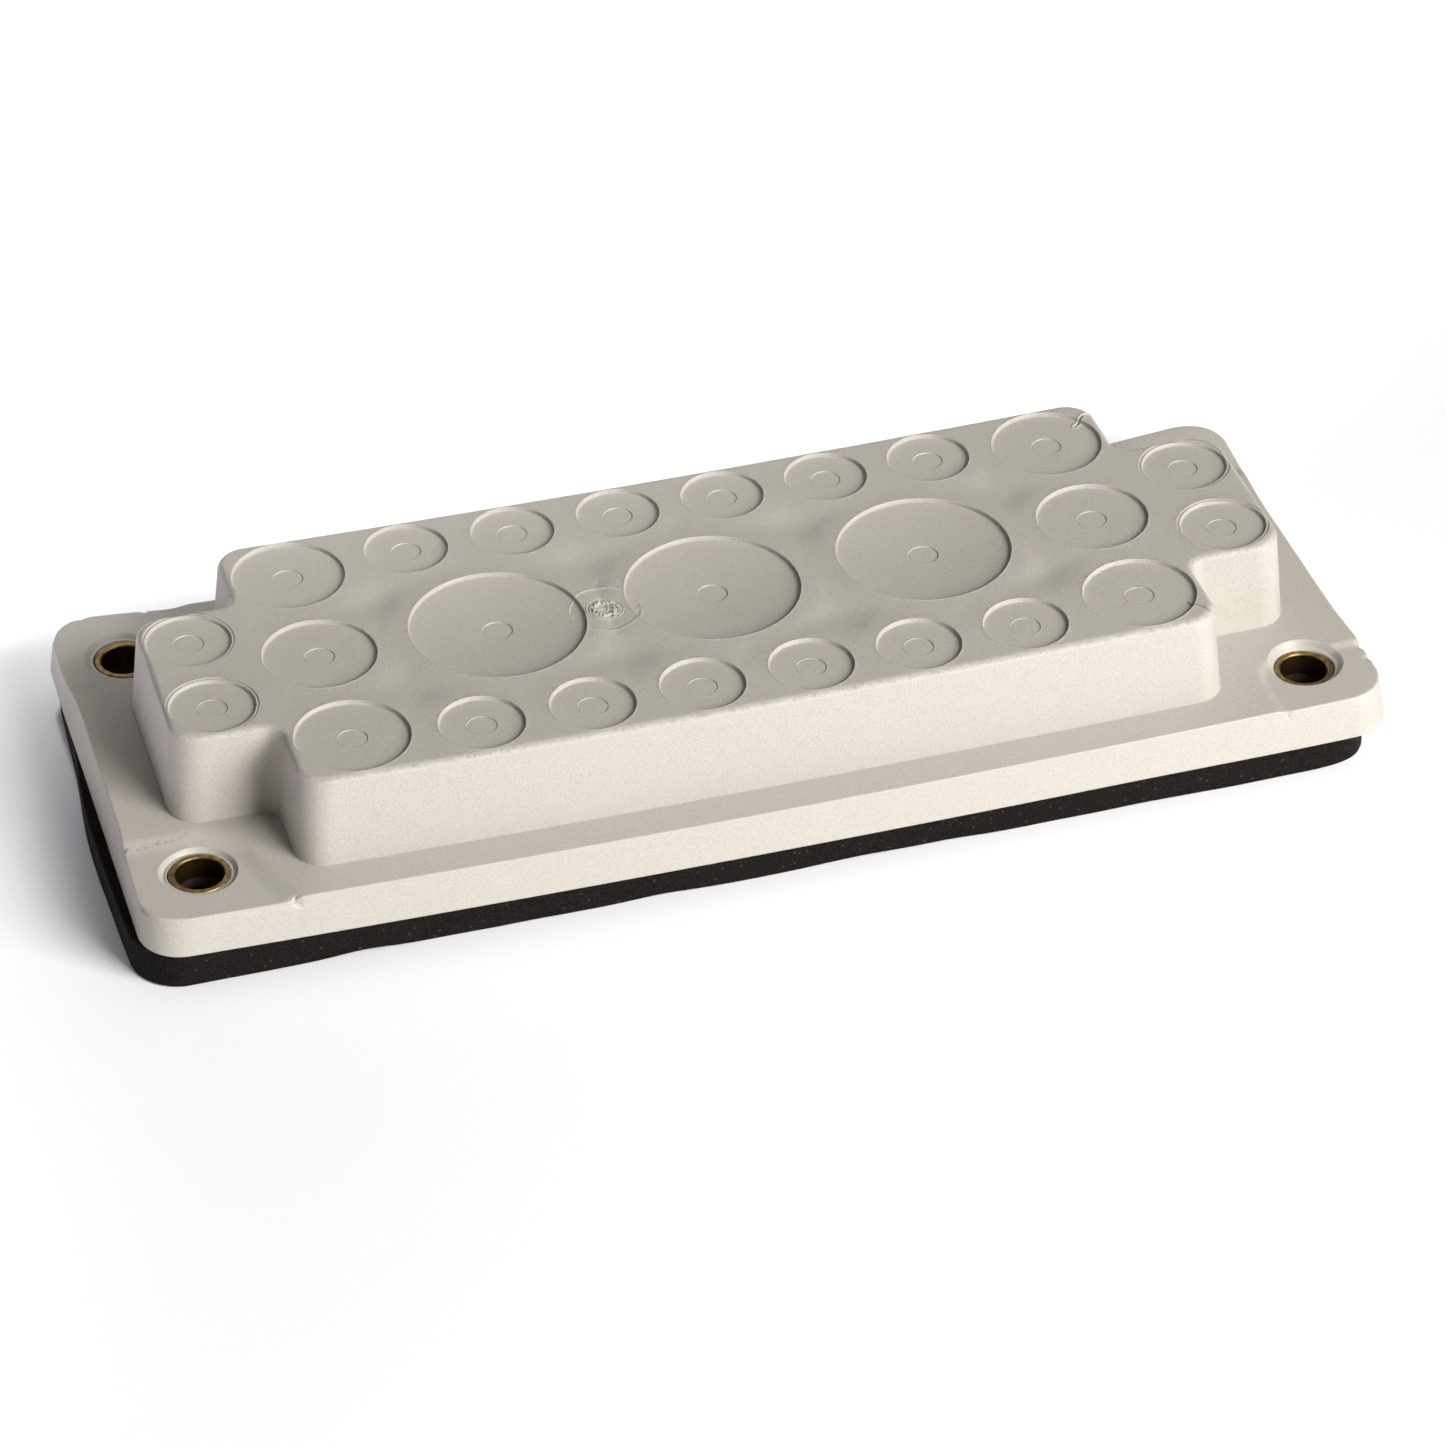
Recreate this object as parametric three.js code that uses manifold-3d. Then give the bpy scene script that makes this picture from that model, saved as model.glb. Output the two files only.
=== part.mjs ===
// Multi-membrane cable entry plate. One soft moulding carries 25 pierceable membranes on a
// raised, notched block. Four brass spacer sleeves sit in the corners of its flange, and a
// foam gasket lies under the flange.
// Millimetres, +Z up, X along the length. The origin is the centre of the plate's footprint,
// on the surface that the gasket seats on.
import * as THREE from 'three';
import { mergeVertices } from 'three/addons/utils/BufferGeometryUtils.js';
import Module from 'manifold-3d';

const wasm = await Module();
wasm.setup();

// Flange: the flat rim that is screwed down.
const FLANGE_LENGTH = 230;
const FLANGE_WIDTH = 93.5;
const FLANGE_HEIGHT = 7.8;
const FLANGE_DRAFT = 1.6;
const FLANGE_CORNER_RADIUS = 7.5;

// Block: the raised middle, a cross with four notched corners, given at its base.
const BLOCK_HEIGHT = 17.2;
const BLOCK_HALF_LENGTH = 104.6;
const BLOCK_END_HALF_WIDTH = 20.6;
const BLOCK_MAIN_HALF_LENGTH = 86;
const BLOCK_HALF_WIDTH = 38.35;
const BLOCK_DRAFT = 2;
const BLOCK_OUTER_RADIUS = 5.5;
const BLOCK_NOTCH_RADIUS = 3;
const BLOCK_EDGE_RADIUS = 1.2;
const CORNER_STEPS = 4;
const EDGE_STEPS = 3;

// Membranes: a shallow round recess on top, a blind bore below, a thin wall between them.
const RECESS_DEPTH = 0.8;
const MEMBRANE_THICKNESS = 1.4;
const BORE_INSET = 0.6;
const BIG = { rim: 15.9, segments: 36 };
const MEDIUM = { rim: 10.1, segments: 28 };
const SMALL = { rim: 7.6, segments: 20 };
const BIG_PITCH = 40;
const MEDIUM_X = 72.5;
const MEDIUM_PITCH = 25;
const SMALL_PITCH = 20;
const SMALL_ROW_Y = 27.5;
const END_X = 94;
const END_Y = 10;

// Screw points: a sunk corner pad, a conical lead-in, a sleeve pocket and a lip under it.
const SCREW_X = 102.25;
const SCREW_Y = 32.5;
const PAD_DEPTH = 0.7;
const PAD_EDGE_X = 91;
const PAD_EDGE_Y = 24;
const PAD_CORNER_RADIUS = 8;
const LEAD_IN_RADIUS = 6.5;
const LIP_HEIGHT = 2;
const SLEEVE_OUTER_RADIUS = 5.45;
const SLEEVE_INNER_RADIUS = 4.3;
const SLEEVE_LENGTH = 4.45;
const SLEEVE_CHAMFER = 0.3;
const SLEEVE_SEGMENTS = 28;
const FIT_GAP = 0.2;

// Gasket: a foam ring with a notched window, stuck on a little off centre.
const GASKET_THICKNESS = 6.5;
const GASKET_LENGTH = 228.6;
const GASKET_WIDTH = 91.5;
const GASKET_SHIFT_X = -2.3;
const GASKET_CORNER_RADIUS = 9;
const GASKET_HOLE_RADIUS = 5;
const WINDOW_HALF_LENGTH = 102.5;
const WINDOW_END_HALF_WIDTH = 20;
const WINDOW_MAIN_HALF_LENGTH = 86;
const WINDOW_HALF_WIDTH = 36.5;

// Heights that follow from the stack. Cuts run past a face by CUT_PAST.
const FLANGE_TOP = GASKET_THICKNESS + FLANGE_HEIGHT;
const BLOCK_TOP = FLANGE_TOP + BLOCK_HEIGHT;
const PAD_TOP = FLANGE_TOP - PAD_DEPTH;
const SLEEVE_BOTTOM = GASKET_THICKNESS + LIP_HEIGHT;
const SLEEVE_TOP = SLEEVE_BOTTOM + SLEEVE_LENGTH;
const BORE_TOP = BLOCK_TOP - RECESS_DEPTH - MEMBRANE_THICKNESS;
const CUT_PAST = 1;

const ELASTOMER = new THREE.MeshStandardMaterial({ color: 0xd2cdc6, roughness: 0.55, metalness: 0 });
const BRASS = new THREE.MeshStandardMaterial({ color: 0x9a7b45, roughness: 0.4, metalness: 1 });
const FOAM = new THREE.MeshStandardMaterial({ color: 0x1b1a1b, roughness: 0.95, metalness: 0 });

// ---------- outlines and solids ----------

// A closed counter-clockwise outline whose square corners [x, y, radius] are rounded by arcs.
function roundedOutline(corners) {
  return corners.flatMap(([x, y, radius], i) => {
    const corner = new THREE.Vector2(x, y);
    const before = new THREE.Vector2(...corners.at(i - 1).slice(0, 2));
    const after = new THREE.Vector2(...corners[(i + 1) % corners.length].slice(0, 2));
    const arriving = corner.clone().sub(before).normalize();
    const leaving = after.sub(corner).normalize();
    const centre = corner.clone().addScaledVector(arriving, -radius).addScaledVector(leaving, radius);
    return Array.from({ length: CORNER_STEPS + 1 }, (_, step) => {
      const turn = (step / CORNER_STEPS) * (Math.PI / 2);
      return centre
        .clone()
        .addScaledVector(leaving, -radius * Math.cos(turn))
        .addScaledVector(arriving, radius * Math.sin(turn));
    });
  });
}

function rectangleOutline(halfLength, halfWidth, radius) {
  return roundedOutline([
    [halfLength, -halfWidth, radius],
    [halfLength, halfWidth, radius],
    [-halfLength, halfWidth, radius],
    [-halfLength, -halfWidth, radius],
  ]);
}

// A cross: a long bar of half size endX, endY with a wider bar of half size mainX, mainY on it.
function crossOutline(endX, endY, mainX, mainY, outerRadius, notchRadius) {
  return roundedOutline([
    [endX, -endY, outerRadius],
    [endX, endY, outerRadius],
    [mainX, endY, notchRadius],
    [mainX, mainY, outerRadius],
    [-mainX, mainY, outerRadius],
    [-mainX, endY, notchRadius],
    [-endX, endY, outerRadius],
    [-endX, -endY, outerRadius],
    [-mainX, -endY, notchRadius],
    [-mainX, -mainY, outerRadius],
    [mainX, -mainY, outerRadius],
    [mainX, -endY, notchRadius],
  ]);
}

function geometryToSolid(geometry) {
  const bare = geometry.clone();
  bare.deleteAttribute('normal');
  bare.deleteAttribute('uv');
  const merged = mergeVertices(bare);
  const vertProperties = new Float32Array(merged.attributes.position.array);
  const triVerts = new Uint32Array(merged.index.array);
  return new wasm.Manifold(new wasm.Mesh({ numProp: 3, vertProperties, triVerts }));
}

function solidToGeometry(solid) {
  const mesh = solid.getMesh();
  const geometry = new THREE.BufferGeometry();
  geometry.setAttribute('position', new THREE.BufferAttribute(mesh.vertProperties, 3));
  geometry.setIndex(new THREE.BufferAttribute(mesh.triVerts, 1));
  geometry.computeVertexNormals();
  return geometry;
}

// Outlines with the same number of points, one per height, skinned into a closed solid.
function loft(levels) {
  const count = levels[0].outline.length;
  const positions = levels.flatMap(({ z, outline }) =>
    outline.flatMap((point) => [point.x, point.y, z]),
  );
  const cap = THREE.ShapeUtils.triangulateShape(levels[0].outline, []);
  const topStart = (levels.length - 1) * count;
  const triangles = cap.flatMap(([a, b, c]) => [a, c, b, topStart + a, topStart + b, topStart + c]);
  for (let level = 0; level < levels.length - 1; level += 1) {
    for (let i = 0; i < count; i += 1) {
      const low = level * count + i;
      const lowNext = level * count + ((i + 1) % count);
      triangles.push(low, lowNext, low + count, lowNext, lowNext + count, low + count);
    }
  }
  const geometry = new THREE.BufferGeometry();
  geometry.setAttribute('position', new THREE.Float32BufferAttribute(positions, 3));
  geometry.setIndex(triangles);
  return geometryToSolid(geometry);
}

function prism(outline, bottom, top) {
  return loft([
    { z: bottom, outline },
    { z: top, outline },
  ]);
}

function roundCut(x, y, bottomRadius, topRadius, bottom, top, segments) {
  const geometry = new THREE.CylinderGeometry(topRadius, bottomRadius, top - bottom, segments);
  geometry.rotateX(Math.PI / 2);
  geometry.translate(x, y, (top + bottom) / 2);
  return geometryToSolid(geometry);
}

// ---------- places ----------

function membranes() {
  const bigRow = [-1, 0, 1].map((step) => ({ x: step * BIG_PITCH, y: 0, size: BIG }));
  const mediumColumns = [-1, 1].flatMap((side) =>
    [-1, 0, 1].map((step) => ({ x: side * MEDIUM_X, y: step * MEDIUM_PITCH, size: MEDIUM })),
  );
  const smallRows = [-1, 1].flatMap((side) =>
    [-2.5, -1.5, -0.5, 0.5, 1.5, 2.5].map((step) => ({
      x: step * SMALL_PITCH,
      y: side * SMALL_ROW_Y,
      size: SMALL,
    })),
  );
  const endPairs = [-1, 1].flatMap((end) =>
    [-1, 1].map((side) => ({ x: end * END_X, y: side * END_Y, size: SMALL })),
  );
  return [...bigRow, ...mediumColumns, ...smallRows, ...endPairs];
}

const screwPoints = {
  front_left: [-SCREW_X, -SCREW_Y],
  front_right: [SCREW_X, -SCREW_Y],
  back_left: [-SCREW_X, SCREW_Y],
  back_right: [SCREW_X, SCREW_Y],
};

// ---------- sub-parts ----------

function flangeSolid() {
  const slab = loft([
    {
      z: GASKET_THICKNESS,
      outline: rectangleOutline(FLANGE_LENGTH / 2, FLANGE_WIDTH / 2, FLANGE_CORNER_RADIUS),
    },
    {
      z: FLANGE_TOP,
      outline: rectangleOutline(
        FLANGE_LENGTH / 2 - FLANGE_DRAFT,
        FLANGE_WIDTH / 2 - FLANGE_DRAFT,
        FLANGE_CORNER_RADIUS,
      ),
    },
  ]);
  // The middle of the flange stands PAD_DEPTH above its four corner pads.
  const cover = rectangleOutline(FLANGE_LENGTH, FLANGE_WIDTH, 1);
  const middle = crossOutline(
    FLANGE_LENGTH + CUT_PAST,
    PAD_EDGE_Y,
    PAD_EDGE_X,
    FLANGE_WIDTH + CUT_PAST,
    1,
    PAD_CORNER_RADIUS,
  );
  const above = FLANGE_TOP + CUT_PAST;
  const middlePrism = prism(middle, PAD_TOP - CUT_PAST, above + CUT_PAST);
  return slab.subtract(prism(cover, PAD_TOP, above).subtract(middlePrism));
}

function blockLevel(z, draft, edgeInset) {
  const inset = draft + edgeInset;
  return {
    z,
    outline: crossOutline(
      BLOCK_HALF_LENGTH - inset,
      BLOCK_END_HALF_WIDTH - inset,
      BLOCK_MAIN_HALF_LENGTH - inset,
      BLOCK_HALF_WIDTH - inset,
      BLOCK_OUTER_RADIUS - edgeInset,
      BLOCK_NOTCH_RADIUS + edgeInset,
    ),
  };
}

function blockSolid() {
  const levels = [
    blockLevel(GASKET_THICKNESS + CUT_PAST, 0, 0),
    blockLevel(FLANGE_TOP, 0, 0),
  ];
  for (let step = 0; step <= EDGE_STEPS; step += 1) {
    const turn = (step / EDGE_STEPS) * (Math.PI / 2);
    const edgeInset = BLOCK_EDGE_RADIUS * (1 - Math.cos(turn));
    const z = BLOCK_TOP - BLOCK_EDGE_RADIUS * (1 - Math.sin(turn));
    levels.push(blockLevel(z, BLOCK_DRAFT, edgeInset));
  }
  return loft(levels);
}

function membraneCuts({ x, y, size }) {
  const { rim, segments } = size;
  const bore = rim - BORE_INSET;
  const recess = roundCut(x, y, rim, rim, BLOCK_TOP - RECESS_DEPTH, BLOCK_TOP + CUT_PAST, segments);
  const below = roundCut(x, y, bore, bore, GASKET_THICKNESS - CUT_PAST, BORE_TOP, segments);
  return recess.add(below);
}

function screwCuts([x, y]) {
  const pocketRadius = SLEEVE_OUTER_RADIUS + FIT_GAP;
  const lip = roundCut(
    x, y, SLEEVE_INNER_RADIUS, SLEEVE_INNER_RADIUS,
    GASKET_THICKNESS - CUT_PAST, PAD_TOP, SLEEVE_SEGMENTS,
  );
  const pocket = roundCut(x, y, pocketRadius, pocketRadius, SLEEVE_BOTTOM, PAD_TOP, SLEEVE_SEGMENTS);
  const flare = ((LEAD_IN_RADIUS - pocketRadius) / (PAD_TOP - SLEEVE_TOP)) * CUT_PAST;
  const leadIn = roundCut(
    x, y, pocketRadius, LEAD_IN_RADIUS + flare,
    SLEEVE_TOP, PAD_TOP + CUT_PAST, SLEEVE_SEGMENTS,
  );
  return lip.add(pocket).add(leadIn);
}

function membranePlate() {
  let plate = flangeSolid().add(blockSolid());
  for (const membrane of membranes()) {
    plate = plate.subtract(membraneCuts(membrane));
  }
  for (const place of Object.values(screwPoints)) {
    plate = plate.subtract(screwCuts(place));
  }
  const mesh = new THREE.Mesh(solidToGeometry(plate), ELASTOMER);
  mesh.name = 'membrane_plate';
  return mesh;
}

function sleeve(name, [x, y]) {
  const inner = SLEEVE_INNER_RADIUS;
  const outer = SLEEVE_OUTER_RADIUS;
  const profile = [
    [inner, SLEEVE_CHAMFER],
    [inner + SLEEVE_CHAMFER, 0],
    [outer, 0],
    [outer, SLEEVE_LENGTH],
    [inner + SLEEVE_CHAMFER, SLEEVE_LENGTH],
    [inner, SLEEVE_LENGTH - SLEEVE_CHAMFER],
    [inner, SLEEVE_CHAMFER],
  ].map(([radius, height]) => new THREE.Vector2(radius, height));
  const geometry = new THREE.LatheGeometry(profile, SLEEVE_SEGMENTS);
  geometry.rotateX(Math.PI / 2);
  const mesh = new THREE.Mesh(geometry, BRASS);
  mesh.name = `sleeve_${name}`;
  mesh.position.set(x, y, SLEEVE_BOTTOM);
  return mesh;
}

function foamGasket() {
  const rim = rectangleOutline(GASKET_LENGTH / 2, GASKET_WIDTH / 2, GASKET_CORNER_RADIUS);
  const shape = new THREE.Shape(rim.map((point) => point.add(new THREE.Vector2(GASKET_SHIFT_X, 0))));
  const window = crossOutline(
    WINDOW_HALF_LENGTH,
    WINDOW_END_HALF_WIDTH,
    WINDOW_MAIN_HALF_LENGTH,
    WINDOW_HALF_WIDTH,
    BLOCK_NOTCH_RADIUS,
    BLOCK_NOTCH_RADIUS,
  );
  shape.holes.push(new THREE.Path(window));
  for (const [x, y] of Object.values(screwPoints)) {
    shape.holes.push(new THREE.Path().absarc(x, y, GASKET_HOLE_RADIUS, 0, Math.PI * 2));
  }
  const settings = { depth: GASKET_THICKNESS, bevelEnabled: false, curveSegments: SLEEVE_SEGMENTS / 2 };
  const mesh = new THREE.Mesh(new THREE.ExtrudeGeometry(shape, settings), FOAM);
  mesh.name = 'foam_gasket';
  return mesh;
}

// ---------- assembly ----------

const entryPlate = new THREE.Group();
entryPlate.add(membranePlate());
for (const [name, place] of Object.entries(screwPoints)) {
  entryPlate.add(sleeve(name, place));
}
entryPlate.add(foamGasket());

export default entryPlate;
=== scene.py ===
import math

import bmesh
import bpy
from mathutils import Matrix, Vector, noise


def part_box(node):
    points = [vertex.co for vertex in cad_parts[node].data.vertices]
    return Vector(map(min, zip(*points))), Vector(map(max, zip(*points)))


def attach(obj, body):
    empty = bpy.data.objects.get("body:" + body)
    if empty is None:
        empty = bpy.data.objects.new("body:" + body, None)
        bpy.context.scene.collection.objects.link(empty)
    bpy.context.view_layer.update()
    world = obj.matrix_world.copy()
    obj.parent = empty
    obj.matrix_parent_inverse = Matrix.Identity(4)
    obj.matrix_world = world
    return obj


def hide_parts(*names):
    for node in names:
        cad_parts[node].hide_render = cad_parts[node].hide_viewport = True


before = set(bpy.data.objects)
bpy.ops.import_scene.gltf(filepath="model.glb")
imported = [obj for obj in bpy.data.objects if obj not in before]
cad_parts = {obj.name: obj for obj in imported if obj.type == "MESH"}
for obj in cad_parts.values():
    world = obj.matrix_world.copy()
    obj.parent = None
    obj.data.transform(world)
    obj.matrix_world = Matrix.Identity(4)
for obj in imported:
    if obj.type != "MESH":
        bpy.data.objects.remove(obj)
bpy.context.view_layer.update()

# ---------------------------------------------------------------------------
# Camera. A long lens looks down on the plate from its front left, aimed at the
# middle of the plate and turned slightly off level.
# ---------------------------------------------------------------------------
AIM = Vector((0.0008, -0.0031, 0.00225))
CAMERA_DISTANCE = 0.9556
CAMERA_AZIMUTH = math.radians(-16.46)
CAMERA_ELEVATION = math.radians(36.98)
CAMERA_ROLL = math.radians(-0.35)
CAMERA_LENS = 130.2

turn = Matrix.Rotation(CAMERA_AZIMUTH, 4, "Z")
tilt = Matrix.Rotation(math.pi / 2 - CAMERA_ELEVATION, 4, "X")
roll = Matrix.Rotation(CAMERA_ROLL, 4, "Z")
back_off = Matrix.Translation((0, 0, CAMERA_DISTANCE))
camera = bpy.data.objects.new("camera", bpy.data.cameras.new("camera"))
camera.data.lens = CAMERA_LENS
camera.data.sensor_width = 36
camera.matrix_world = Matrix.Translation(AIM) @ turn @ tilt @ roll @ back_off
bpy.context.scene.collection.objects.link(camera)
bpy.context.scene.camera = camera

# ---------------------------------------------------------------------------
# Studio. A pale matt floor, one large low softbox at the front right and weak
# ones overhead and at the left. Lamps over the floor at the left and behind
# turn it white, and its glow lights the walls from below.
# ---------------------------------------------------------------------------
MM = 0.001
FLOOR_HALF = 3.0
FLOOR_COLOUR = (0.89, 0.90, 0.92, 1)
FLOOR_DROP = 0.1 * MM
WORLD_STRENGTH = 0.15


def new_object(name, bm):
    mesh = bpy.data.meshes.new(name)
    bm.to_mesh(mesh)
    bm.free()
    piece = bpy.data.objects.new(name, mesh)
    bpy.context.scene.collection.objects.link(piece)
    return piece


def new_material(name):
    material = bpy.data.materials.new(name)
    material.use_nodes = True
    material.node_tree.nodes.clear()
    return material, material.node_tree


def add_node(tree, kind, inputs=None, **settings):
    node = tree.nodes.new(kind)
    for name, value in settings.items():
        setattr(node, name, value)
    for socket, value in (inputs or {}).items():
        if isinstance(value, bpy.types.NodeSocket):
            tree.links.new(value, node.inputs[socket])
        else:
            node.inputs[socket].default_value = value
    return node


def floor_material():
    material, tree = new_material("pale_floor")
    shader = add_node(tree, "ShaderNodeBsdfPrincipled", {"Base Color": FLOOR_COLOUR, "Roughness": 0.9})
    add_node(tree, "ShaderNodeOutputMaterial", {"Surface": shader.outputs["BSDF"]})
    return material


floor_bm = bmesh.new()
bmesh.ops.create_grid(floor_bm, x_segments=1, y_segments=1, size=FLOOR_HALF)
bmesh.ops.translate(floor_bm, vec=(0, 0, -FLOOR_DROP), verts=floor_bm.verts)
floor = new_object("floor", floor_bm)
floor.data.materials.append(floor_material())


def softbox(name, azimuth, elevation, distance, size, power, colour):
    """A square lamp aimed at the origin from an azimuth, counted from the front, and an elevation."""
    light = bpy.data.lights.new(name, "AREA")
    light.shape = "SQUARE"
    light.size = size
    light.energy = power
    light.color = colour
    lamp = bpy.data.objects.new(name, light)
    aim = Matrix.Rotation(math.radians(azimuth), 4, "Z")
    rise = Matrix.Rotation(math.radians(90 - elevation), 4, "X")
    lamp.matrix_world = aim @ rise @ Matrix.Translation((0, 0, distance))
    bpy.context.scene.collection.objects.link(lamp)


def floor_lamp(name, x, y, height, spread, blend, power, colour):
    """A lamp hung over the floor beside the object. Only the floor's glow reaches the object."""
    light = bpy.data.lights.new(name, "SPOT")
    light.spot_size = math.radians(spread)
    light.spot_blend = blend
    light.shadow_soft_size = 0.1
    light.energy = power
    light.color = colour
    lamp = bpy.data.objects.new(name, light)
    lamp.location = (x, y, height)
    bpy.context.scene.collection.objects.link(lamp)


softbox("key_softbox", 32, 29, 1.3, 0.75, 31.8, (1.0, 0.985, 0.95))
softbox("top_softbox", 120, 65, 1.6, 1.2, 1.5, (1.0, 0.99, 0.98))
softbox("left_fill", -95, 4, 1.5, 0.6, 0.25, (1.0, 0.84, 1.0))
floor_lamp("left_floor_lamp", -0.55, 0.0, 0.75, 55, 0.7, 112, (1.0, 0.88, 1.0))
floor_lamp("back_floor_lamp", -0.08, 0.46, 0.9, 49, 0.5, 130, (1.0, 1.0, 1.0))

world = bpy.data.worlds.new("studio")
world.use_nodes = True
world.node_tree.nodes["Background"].inputs["Color"].default_value = (1.0, 0.98, 0.96, 1)
world.node_tree.nodes["Background"].inputs["Strength"].default_value = WORLD_STRENGTH
bpy.context.scene.world = world
bpy.context.scene.view_settings.view_transform = "Standard"

# ---------------------------------------------------------------------------
# Membrane plate. One soft, light grey elastomer moulding: a flat flange, a
# raised block with notched corners, and 25 thin membranes. Each membrane is a
# shallow recess on top with a blind bore under it.
# ---------------------------------------------------------------------------
plate_low, plate_high = (Vector(corner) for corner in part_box("membrane_plate"))
HALF_LENGTH = plate_high.x
HALF_WIDTH = plate_high.y
UNDERSIDE = plate_low.z
BLOCK_TOP = plate_high.z
BLOCK_HEIGHT = 17.2 * MM
FLANGE_TOP = BLOCK_TOP - BLOCK_HEIGHT
FLANGE_DRAFT = 1.6 * MM
FLANGE_CORNER = 7.5 * MM
FLANGE_EDGE = 0.3 * MM
BLOCK_END = (104.6 * MM, 20.6 * MM)
BLOCK_MAIN = (86 * MM, 38.35 * MM)
BLOCK_DRAFT = 2 * MM
BLOCK_CORNER = 5.5 * MM
BLOCK_NOTCH = 3.2 * MM
BLOCK_EDGE = 1.2 * MM
RECESS_DEPTH = 0.7 * MM
MEMBRANE_THICKNESS = 1.4 * MM
BORE_INSET = 0.6 * MM
DISC_RADIUS = 2.7 * MM
DISC_DEPTH = 0.13 * MM
TOP_MESH = 2.3 * MM
PAD_MESH = 1.1 * MM
PADS_FROM = (84 * MM, 21 * MM)
FLANGE_MESH = (3 * MM, 4 * MM)
BLOCK_ROOT = 3 * MM
SCREW_LIP = 4.3 * MM
PLATE_SHARP_ANGLE = 14
SCREWS = [(x * 102.25 * MM, y * 32.5 * MM) for x in (-1, 1) for y in (-1, 1)]
# rim radius, sag at the centre, depth of the fine ledge round the rim, steps in a turn
BIG = (15.9 * MM, 0.75 * MM, 0, 144)
MEDIUM = (10.2 * MM, 0.05 * MM, 0, 112)
SMALL = (7.6 * MM, 0.03 * MM, 0, 88)
END = (7.62 * MM, 0.03 * MM, 0.17 * MM, 88)


def membranes():
    places = [(40 * MM * i, 0, BIG) for i in (-1, 0, 1)]
    places += [(72.5 * MM * side, 25 * MM * i, MEDIUM) for side in (-1, 1) for i in (-1, 0, 1)]
    for side in (-1, 1):
        places += [(20 * MM * i, 27.5 * MM * side, SMALL) for i in (-2.5, -1.5, -0.5, 0.5, 1.5, 2.5)]
    places += [(94 * MM * end, 10 * MM * side, END) for end in (-1, 1) for side in (-1, 1)]
    return places


def cross_corners(end, main):
    corners = []
    for x, y in [(1, -1), (1, 1), (-1, 1), (-1, -1)]:
        notch = [(x * end[0], y * end[1]), (x * main[0], y * end[1]), (x * main[0], y * main[1])]
        corners += notch if x == y else notch[::-1]
    return corners


def drafted_block(corners, bottom, top, draft):
    """An outline lifted into a solid whose walls lean in by the draft."""
    bm = bmesh.new()
    face = bm.faces.new([bm.verts.new((x, y, bottom)) for x, y in corners])
    lifted = bmesh.ops.extrude_face_region(bm, geom=[face])["geom"]
    for vert in [g for g in lifted if isinstance(g, bmesh.types.BMVert)]:
        vert.co.z = top
        vert.co.x -= math.copysign(draft, vert.co.x)
        vert.co.y -= math.copysign(draft, vert.co.y)
    bmesh.ops.recalc_face_normals(bm, faces=bm.faces[:])
    return bm


def round_edges(bm, wanted, radius, segments):
    edges = [edge for edge in bm.edges if wanted(edge)]
    bmesh.ops.bevel(
        bm, geom=edges, offset=radius, offset_type="OFFSET", segments=segments,
        profile=0.5, affect="EDGES", material=-1, clamp_overlap=True,
    )


def upright(edge):
    a, b = (vert.co for vert in edge.verts)
    return abs(a.z - b.z) > 3 * MM


def level_at(height):
    return lambda edge: all(abs(vert.co.z - height) < 1e-6 for vert in edge.verts)


def turned(profile, steps, place):
    """A profile of (radius, height) points spun round a vertical axis into a closed solid."""
    bm = bmesh.new()
    verts = [bm.verts.new((place[0] + radius, place[1], height)) for radius, height in profile]
    edges = [bm.edges.new(pair) for pair in zip(verts, verts[1:])]
    bmesh.ops.spin(
        bm, geom=verts + edges, cent=(place[0], place[1], 0), axis=(0, 0, 1),
        angle=2 * math.pi, steps=steps, use_merge=True, use_duplicate=False,
    )
    bmesh.ops.remove_doubles(bm, verts=bm.verts, dist=1e-7)
    bmesh.ops.recalc_face_normals(bm, faces=bm.faces[:])
    return bm


def join_into(bm, other):
    mesh = bpy.data.meshes.new("part")
    other.to_mesh(mesh)
    other.free()
    bm.from_mesh(mesh)
    bpy.data.meshes.remove(mesh)


def combine(body_bm, tool_bm, operation):
    """Adds the tool solid to the body or cuts it out, and gives back the new mesh."""
    body = new_object("body", body_bm)
    tool = new_object("tool", tool_bm)
    cut = body.modifiers.new("combine", "BOOLEAN")
    cut.operation = operation
    cut.solver = "EXACT"
    cut.object = tool
    graph = bpy.context.evaluated_depsgraph_get()
    mesh = bpy.data.meshes.new_from_object(body.evaluated_get(graph))
    result = bmesh.new()
    result.from_mesh(mesh)
    for piece in (body, tool):
        old = piece.data
        bpy.data.objects.remove(piece)
        bpy.data.meshes.remove(old)
    bpy.data.meshes.remove(mesh)
    return result


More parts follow.
